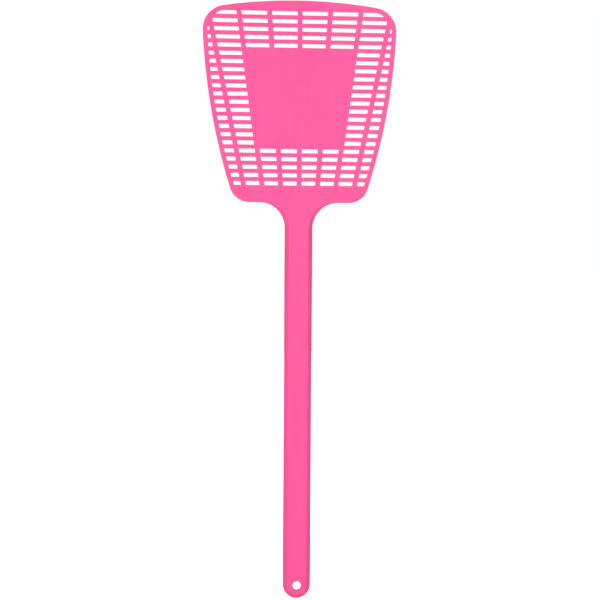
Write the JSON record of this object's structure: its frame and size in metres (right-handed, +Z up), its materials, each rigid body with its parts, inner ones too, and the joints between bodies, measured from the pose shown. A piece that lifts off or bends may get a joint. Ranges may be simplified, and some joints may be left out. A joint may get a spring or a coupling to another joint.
{
  "type": "fly swatter",
  "caption": "One-piece moulded plastic fly swatter: slotted mesh blade with a blank imprint panel, flared neck, bevelled channel handle and a hanging hole.",
  "frame": {"origin": "centre of the hanging hole, at its mouth on the front face", "axes": "+Z up the handle to the blade, +X to the right seen from the front, front face towards -Y"},
  "size_m": [0.1352, 0.0056, 0.42],
  "materials": {
    "pink_plastic": "satin moulded polypropylene, hot pink all through"
  },
  "bodies": {
    "root": {"cross_rib_01": "pink_plastic", "cross_rib_02": "pink_plastic", "cross_rib_03": "pink_plastic", "cross_rib_04": "pink_plastic", "cross_rib_05": "pink_plastic", "cross_rib_06": "pink_plastic", "cross_rib_07": "pink_plastic", "cross_rib_08": "pink_plastic", "cross_rib_09": "pink_plastic", "cross_rib_10": "pink_plastic", "crown": "pink_plastic", "handle_face": "pink_plastic", "handle_side_left": "pink_plastic", "handle_side_right": "pink_plastic", "handle_tip": "pink_plastic", "hang_eye": "pink_plastic", "imprint_panel": "pink_plastic", "neck_side_left": "pink_plastic", "neck_side_right": "pink_plastic", "neck_web": "pink_plastic", "rib_centre": "pink_plastic", "rib_left_inner": "pink_plastic", "rib_left_middle": "pink_plastic", "rib_left_outer": "pink_plastic", "rib_right_inner": "pink_plastic", "rib_right_middle": "pink_plastic", "rib_right_outer": "pink_plastic", "rim_left": "pink_plastic", "rim_right": "pink_plastic", "shoulder_web": "pink_plastic", "slat_01": "pink_plastic", "slat_02": "pink_plastic", "slat_03": "pink_plastic", "slat_04": "pink_plastic", "slat_05": "pink_plastic", "slat_06": "pink_plastic", "slat_07": "pink_plastic", "slat_08": "pink_plastic", "slat_09": "pink_plastic", "slat_10": "pink_plastic", "slat_11": "pink_plastic", "slat_12": "pink_plastic", "slat_13": "pink_plastic", "slat_14": "pink_plastic", "slat_15": "pink_plastic", "slat_16": "pink_plastic", "slat_17": "pink_plastic", "slat_18": "pink_plastic", "slat_19": "pink_plastic", "slat_20": "pink_plastic", "slat_21": "pink_plastic"}
  },
  "joints": []
}
